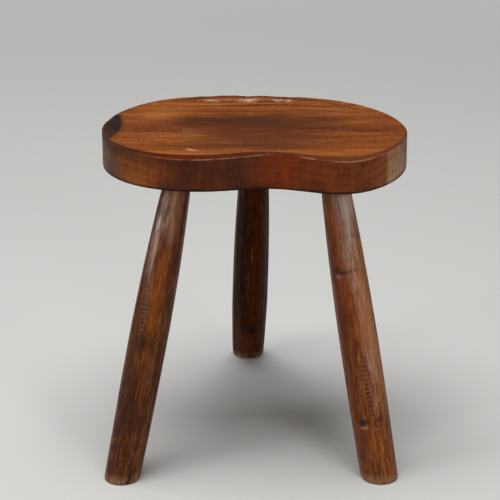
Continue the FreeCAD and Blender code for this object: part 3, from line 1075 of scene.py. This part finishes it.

# %% [markdown]
# ## The bevel and the underside
#
# The bevel is darker and redder than the top. Along its lower side the arris is pale in
# patches: partly worn, partly a painted highlight on the rounded arris. The distance from the
# outline finds that arris on the real shape, which a height could not, because the bevel's width
# changes. Nobody stained or polished the underside, so it is dull, and rough from the saw.

# %% The bevel's wood and the underside's
def bevel_wood():
    """The bevel, with its lower arris painted pale, for wear and for a highlight."""
    material, place = start_wood("seat_bevel_wood", gloss=0.05)
    height = plank_figure(place)[1]
    along = along_seat(place, 0.08)
    colour = ramp(
        along,
        (0.02, 78, 54, 42), (0.1, 60, 36, 25), (0.2, 92, 28, 6), (0.45, 84, 37, 16),
        (0.75, 98, 50, 26), (0.94, 112, 62, 36), (0.98, 96, 64, 50),
    )
    patchy = soft_step(noise_in(place, (18, 18, 18), 3.9), 0.36, 0.62)
    worn = calc("MULTIPLY", soft_step(rim_distance(material), 1.3 * MM, 0.9 * MM), patchy)
    worn = calc("MULTIPLY", worn, soft_step(along, 0.05, 0.3))
    # pale in patches: wear on the arris and a painted highlight
    colour = lay(colour, (164, 112, 88), worn, 0.75)
    finish_wood(material, colour, height, depth=0.12, shiny=0.6, dull=0.75)
    return material


def underside_wood():
    """The underside, rough from the saw and never polished."""
    material, place = start_wood("seat_underside_wood", gloss=0.15)
    tone, height = plank_figure(place)
    colour = ramp(tone, (0.3, 58, 33, 19), (0.5, 88, 53, 31), (0.7, 112, 72, 44))
    saw_lines = noise_in(place, (1.6, 60, 60), 6.2)
    height = weigh((height, 0.5), (saw_lines, 0.5))
    finish_wood(material, colour, height, depth=0.35, shiny=0.6, dull=0.8)
    return material


bevel_material = bevel_wood()
underside_material = underside_wood()

# %% [markdown]
# ## The legs' wood
#
# The grain runs along each leg, so its patterns can't read the stool's own axes. A Mapping
# node of type Texture undoes the leg's place and lean, and gives coordinates along the leg.
# Dark, middle and light tones follow the streaks. Over them lie dark blotches, amber flecks
# where the stain wore thin, and short dark pores.

# %% The grain of a leg
LEG_TONES = {
    # dark, middle and light
    "front_left": ((38, 15, 5), (92, 44, 14), (152, 86, 36)),
    "front_right": ((66, 28, 8), (124, 60, 19), (176, 106, 48)),
    # the back leg is darker partly for a darker stain, partly as painted shade from the seat above
    "back": ((20, 8, 3), (57, 24, 8), (100, 48, 19)),
}


def leg_place(leg, world_place):
    """Coordinates in the leg's own frame."""
    middle = leg_frame(leg)
    turned = new_node(
        world_place.id_data, "Mapping", Vector=world_place, Location=middle.to_translation(),
        Rotation=middle.to_euler(),
    )
    turned.vector_type = "TEXTURE"
    return turned.outputs[0]


def leg_grain(leg, place):
    """The bare wood of a leg: its colour, the value behind the colour, and its height."""
    shift = LEGS[leg]["seed"]
    broad = noise_in(place, (11, 11, 120), shift)
    narrow = noise_in(place, (4, 4, 50), shift + 1.3, bend=0.3)
    fibre = noise_in(place, (1.7, 1.7, 13), shift + 2.6, detail=5.0)
    tone = weigh((broad, 0.32), (narrow, 0.3), (fibre, 0.38))
    dark, medium, light = LEG_TONES[leg]
    colour = ramp(tone, (0.38, *dark), (0.5, *medium), (0.62, *light))
    blotch = soft_step(noise_in(place, (9, 9, 26), shift + 5.2), 0.5, 0.75)
    colour = lay(colour, dark, blotch, 0.6)
    amber = soft_step(noise_in(place, (2.4, 2.4, 13), shift + 7.9, detail=4.0), 0.52, 0.66)
    colour = lay(colour, light, amber, 0.42)
    pores = soft_step(noise_in(place, (1.7, 1.7, 7), shift + 11.0), 0.54, 0.66)
    colour = lay(colour, dark, pores, 0.6)
    return colour, tone, weigh((narrow, 0.4), (fibre, 0.6))


print("grain for", len(LEG_TONES), "legs")

# %% [markdown]
# ## Painted sheen and old varnish on the legs
#
# Just below the seat, the front legs are pale and milky, in streaks that run down the leg:
# partly a painted highlight where the flats catch the lamps, partly old varnish turned milky.
# The varnish is crazed with fine cracks. A cell pattern looks like snakeskin there. A noise
# passes its middle value along thin wandering lines, and when it is stretched along the leg,
# these look like real cracks.

# %% Milky sheen and crazing
LEG_CRACKS = {"front_left": 0.25, "front_right": 0.7, "back": 0}
LEG_SHEEN = {
    # strength, angle, below the seat, half width, half length
    "front_left": ((0.4, -8, 48, 5, 52), (0.5, 28, 28, 6, 30)),
    "front_right": ((1.0, -14, 42, 10, 50), (0.9, 4, 24, 9, 14), (0.55, 2, 145, 7, 60)),
    "back": (),
}


def leg_spot(leg, place, angle, below, half_width, half_length, soft, ragged):
    """A spot on the leg, by the angle round it and the distance below the seat."""
    reach = leg_radius(leg, -below * MM) / MM
    turn = math.radians(angle)
    centre = (reach * math.cos(turn), reach * math.sin(turn), -below)
    return spot(place, centre, (half_width, half_width, half_length), soft, ragged=ragged)


def hairlines(place, size, shift, width):
    """Thin wandering lines, where a noise passes through its middle value."""
    away = calc("ABSOLUTE", calc("SUBTRACT", noise_in(place, size, shift, detail=2.0), 0.5))
    return soft_step(away, width, 0.3 * width)


def sheen_and_varnish(leg, place, colour, ragged):
    """Painted highlight and milky varnish over the colour, long cracks along, short ones across.
    """
    streaks = noise_in(place, (2.2, 2.2, 20), LEGS[leg]["seed"] + 9.5, detail=5.0)
    streaks = calc("MULTIPLY_ADD", soft_step(streaks, 0.42, 0.6), 0.64, 0.36)
    across = calc("MULTIPLY", hairlines(place, (9, 9, 2.0), 8.8, 0.04), 0.3)
    cracks = calc("MAXIMUM", hairlines(place, (2.3, 2.3, 17), 3.3, 0.05), across)
    for strength, *where in LEG_SHEEN[leg]:
        sheen = leg_spot(leg, place, *where, 0.7, ragged)
        # painted highlight and milky varnish, in streaks down the leg
        colour = lay(colour, (234, 194, 172), calc("MULTIPLY", sheen, streaks), strength)
        colour = lay(colour, LEG_TONES[leg][0], calc("MULTIPLY", sheen, cracks), LEG_CRACKS[leg])
    return colour


print("milky patches:", {leg: len(patches) for leg, patches in LEG_SHEEN.items()})

# %% [markdown]
# ## Marks and painted highlights on the legs
#
# Each leg has its own knots, dents and dark lines, and pale streaks along its flats, which are
# partly rubbed and partly painted highlights. As on the top, each one is a spot at its real
# place. On a round leg the place is the angle, where 0 faces away from the stool's middle, and
# the distance below the seat, along the leg.

# %% Marks on the left leg
LEG_MARKS_AND_HIGHLIGHTS = {}
LEG_MARKS_AND_HIGHLIGHTS["front_left"] = (
    # tint, strength, angle, below the seat, half width, half length, softness
    ((168, 92, 34), 0.36, 38, 118, 6, 92, 0.9),
    ((54, 28, 18), 0.6, 5, 230, 9, 80, 0.6),
    # the next six rows are painted highlights along the flats
    ((178, 146, 128), 0.6, -6, 25, 2.6, 16, 0.6),
    ((218, 194, 184), 0.8, -9, 47, 2.0, 8, 0.6),
    ((198, 160, 142), 0.55, -2, 74, 2.4, 16, 0.8),
    ((160, 118, 94), 0.2, 6, 112, 3, 24, 0.8),
    ((208, 152, 126), 0.6, 36, 22, 1.8, 20, 0.6),
    ((188, 128, 96), 0.5, 47, 52, 2.4, 14, 0.7),
    ((32, 15, 9), 0.55, 16, 26, 1.0, 24, 0.6),
    ((40, 20, 12), 0.5, 28, 62, 3.2, 12, 0.7),
    ((52, 25, 14), 0.3, 60, 40, 1.4, 40, 0.7),
    ((56, 28, 14), 0.22, 78, 150, 6, 150, 0.8),
    # this row too is a painted highlight
    ((150, 100, 70), 0.55, 54, 28, 5, 32, 0.8),
    ((62, 30, 12), 0.35, 48, 214, 6, 40, 0.9),
    ((44, 21, 12), 0.6, 28, 168, 10, 9, 0.8),
    ((44, 21, 12), 0.5, 20, 250, 7, 40, 0.8),
)
print(len(LEG_MARKS_AND_HIGHLIGHTS["front_left"]), "marks on the left leg")

# %% Marks on the right leg
LEG_MARKS_AND_HIGHLIGHTS["front_right"] = (
    # tint, strength, angle, below the seat, half width, half length, softness
    # this row is a painted sheen down the flats
    ((194, 130, 80), 0.6, 10, 130, 7, 92, 0.8),
    ((170, 80, 24), 0.35, -12, 146, 7, 22, 0.9),
    ((190, 98, 34), 0.6, -54, 42, 5, 13, 0.9),
    ((40, 20, 12), 0.6, -29, 26, 1.4, 13, 0.6),
    ((50, 26, 15), 0.5, 20, 62, 1.2, 40, 0.7),
    # the next four rows are painted highlights at the top of the leg
    ((236, 206, 190), 0.22, -8, 30, 8, 28, 0.9),
    ((240, 218, 206), 0.6, -8, 27, 2.2, 16, 0.7),
    ((236, 212, 198), 0.5, 14, 24, 1.8, 14, 0.7),
    ((236, 212, 198), 0.5, -8, 54, 1.8, 12, 0.7),
    ((40, 22, 14), 0.35, -12, 58, 6, 1.6, 0.9),
    ((40, 22, 14), 0.3, -24, 81, 6, 1.6, 0.9),
    ((150, 104, 80), 0.35, -22, 54, 5, 44, 0.7),
    ((70, 32, 14), 0.6, -70, 170, 8, 120, 0.6),
    ((118, 50, 18), 0.5, -55, 80, 8, 70, 0.7),
    ((30, 15, 9), 0.6, -74, 90, 5, 2.2, 0.9),
    ((30, 15, 9), 0.6, -56, 93.5, 4, 2.4, 0.9),
    ((30, 15, 9), 0.5, -36, 93.5, 5, 1.8, 0.9),
    ((30, 15, 9), 0.4, -14, 92, 5, 1.6, 0.9),
    ((30, 15, 9), 0.3, -2, 87, 3, 4, 0.9),
    ((196, 146, 122), 0.3, -64, 97, 4, 2, 0.8),
    ((204, 158, 140), 0.45, -24, 80, 1.1, 6, 0.8),
    ((204, 158, 140), 0.4, -12, 84, 1.2, 4, 0.8),
    ((70, 32, 14), 0.4, -64, 138, 6, 10, 0.9),
    ((30, 14, 8), 0.85, -52, 247, 4.6, 2.4, 0.7),
    ((36, 17, 10), 0.6, -7, 246, 4.2, 2.6, 0.9),
    ((186, 132, 98), 0.45, -55, 252.5, 5, 1.2, 0.7),
    ((186, 132, 98), 0.25, -14, 255, 5, 1.2, 0.9),
    ((44, 26, 18), 0.8, -6, 10, 9, 6, 0.9),
    ((76, 44, 28), 0.25, -20, 300, 14, 14, 0.8),
)
print(len(LEG_MARKS_AND_HIGHLIGHTS["front_right"]), "marks on the right leg")

# %% Marks on the back leg
LEG_MARKS_AND_HIGHLIGHTS["back"] = (
    # tint, strength, angle, below the seat, half width, half length, softness
    ((88, 38, 14), 0.6, -172, 190, 6, 120, 0.7),
    ((84, 44, 22), 0.6, -140, 150, 4, 140, 0.6),
    ((12, 6, 4), 0.7, 140, 170, 5, 60, 0.8),
    ((12, 6, 4), 0.9, 181, 258, 5, 6, 0.7),
    ((110, 60, 32), 0.6, 165, 286, 11, 20, 0.9),
)


def leg_marked_and_highlit(leg, place, colour, ragged):
    """Lay each mark and painted highlight of a leg over its colour."""
    for tint, strength, *where in LEG_MARKS_AND_HIGHLIGHTS[leg]:
        colour = lay(colour, tint, leg_spot(leg, place, *where, ragged), strength)
    return colour


print(len(LEG_MARKS_AND_HIGHLIGHTS["back"]), "marks on the back leg")

# %% [markdown]
# ## Chatter
#
# Where a knife skips over hard wood, it leaves a row of short ticks across the leg. They
# could be cut into the mesh, but they are finer than its faces. So a banded wave draws them
# inside a long thin spot: a painted highlight on one side, a painted shadow on the other, and
# lower where dark.

# %% Ticks of a knife that skipped
CHATTER = {
    # angle, from and to below the seat, half width, strength
    "front_left": (6, 104, 166, 3.4, 0.65),
    "front_right": (-25, 172, 244, 4.2, 0.9),
    "back": (177, 130, 156, 2, 1),
}


def chattered(leg, place, colour, height):
    """The colour and the height with the ticks laid over them."""
    angle, start, end, width, strength = CHATTER[leg]
    broken = calc("MULTIPLY_ADD", noise_in(place, (3, 3, 5), 6.6), 2.2, -1.0)
    middle, length = (start + end) / 2, (end - start) / 2
    strip = leg_spot(leg, place, angle, middle, width, length, 0.3, broken)
    strip = calc("MULTIPLY", strip, strength)
    wave = new_node(
        place.id_data, "TexWave", Vector=place, Scale=68.0, Distortion=9.0, Detail=3.0,
        Detail_Scale=120.0,
    )
    wave.bands_direction = "Z"
    ticks = wave.outputs["Fac"]
    pale = calc("MULTIPLY", strip, soft_step(ticks, 0.6, 0.95))
    dark = calc("MULTIPLY", strip, soft_step(ticks, 0.4, 0.1))
    # painted highlight and painted shadow of each tick
    colour = lay(colour, (180, 136, 106), pale, 0.5)
    colour = lay(colour, (40, 19, 10), dark, 0.75)
    return colour, calc("SUBTRACT", height, dark)


print("chatter on", len(CHATTER), "legs")

# %% [markdown]
# ## All layers of a leg
#
# One material for all three would repeat the same marks, so a function makes one for each
# leg. It lays the layers in this order: grain, painted sheen and varnish, marks and painted
# highlights, and chatter.
# At the foot the stain is scuffed off and bare wood shows, more where the grain is light.

# %% The wood of each leg
LEG_GLOSS = {"front_left": 0.17, "front_right": 0.18, "back": 0.03}


def leg_wood(leg):
    """One leg's wood, with bare scuffed wood at its foot."""
    material, world_place = start_wood(f"leg_{leg}_wood", LEG_GLOSS[leg])
    place = leg_place(leg, world_place)
    colour, tone, height = leg_grain(leg, place)
    ragged = noise_in(place, (1.8, 1.8, 15), LEGS[leg]["seed"] + 4.1, detail=4.0)
    ragged = calc("MULTIPLY_ADD", ragged, 2.2, -1.1)
    colour = sheen_and_varnish(leg, place, colour, ragged)
    colour = leg_marked_and_highlit(leg, place, colour, ragged)
    colour, height = chattered(leg, place, colour, height)
    up = new_node(material.node_tree, "SeparateXYZ", Vector=world_place).outputs["Z"]
    scuffed = calc("MULTIPLY", soft_step(up, 12 * MM, 2 * MM), soft_step(tone, 0.4, 0.54))
    colour = lay(colour, (158, 118, 86), scuffed, 0.68)
    finish_wood(material, colour, height, depth=0.22, shiny=0.26, dull=0.52)
    return material


leg_materials = {leg: leg_wood(leg) for leg in LEGS}

# %% [markdown]
# ## The wedges' wood
#
# The three hidden wedges were split from dry pale wood and never stained. Their CAD shapes
# are right, so they stay and only get this wood, with its grain upright.

# %% Wedge wood
def wedge_wood():
    """A split wedge of pale dry wood."""
    material, place = start_wood("wedge_wood", gloss=0.2)
    streaks = noise_in(place, (3, 3, 30), 0.4)
    fibre = noise_in(place, (0.6, 0.6, 9), 1.9)
    tone = weigh((streaks, 0.6), (fibre, 0.4))
    colour = ramp(tone, (0.35, 128, 92, 58), (0.65, 176, 138, 94))
    finish_wood(material, colour, tone, depth=0.1, shiny=0.6, dull=0.8)
    return material


wedge_material = wedge_wood()

# %% [markdown]
# ## Dress the pieces
#
# Each vertex of the seat keeps its distance from the outline as an attribute, which the top
# and the bevel read. Four objects could carry the four woods, but a plank is one piece. So
# each face gets the wood for the way that it faces, and the walls of the mortises, deep
# inside the outline, get the underside's.

# %% Wood on the seat
TOP, BEVEL, EDGE, UNDER = range(4)
INSIDE = 8 * MM
inset = seat.data.attributes.new("inset", "FLOAT", "POINT")
for vertex in seat.data.vertices:
    inset.data[vertex.index].value = min((vertex.co.xy - point).length for point in upper)


def wood_for(face):
    """The number of the wood that a face of the seat gets."""
    upwards = face.normal.z
    if upwards > 0.96:
        return TOP
    if upwards > 0.2:
        return BEVEL
    if upwards < -0.5 or all(inset.data[number].value > INSIDE for number in face.vertices):
        return UNDER
    return EDGE


for material in (top_material, bevel_material, edge_material, underside_material):
    seat.data.materials.append(material)
for face in seat.data.polygons:
    face.material_index = wood_for(face)
    face.use_smooth = face.material_index != UNDER
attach(seat, "root")
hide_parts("seat")
for number, material in enumerate(seat.data.materials):
    faces = [face for face in seat.data.polygons if face.material_index == number]
    print(material.name, "covers", len(faces), "faces")

# %% Wood on the legs and the wedges
for leg, piece in legs.items():
    piece.data.materials.clear()
    piece.data.materials.append(leg_materials[leg])
    for face in piece.data.polygons:
        face.use_smooth = True
    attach(piece, "root")
    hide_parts(f"leg_{leg}")
    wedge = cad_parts[f"wedge_{leg}"].data
    wedge.materials.clear()
    wedge.materials.append(wedge_material)
    print(piece.name, "stands for", f"leg_{leg}")

# %% [markdown]
# ## The end
#

# %% The end
print("scene done")
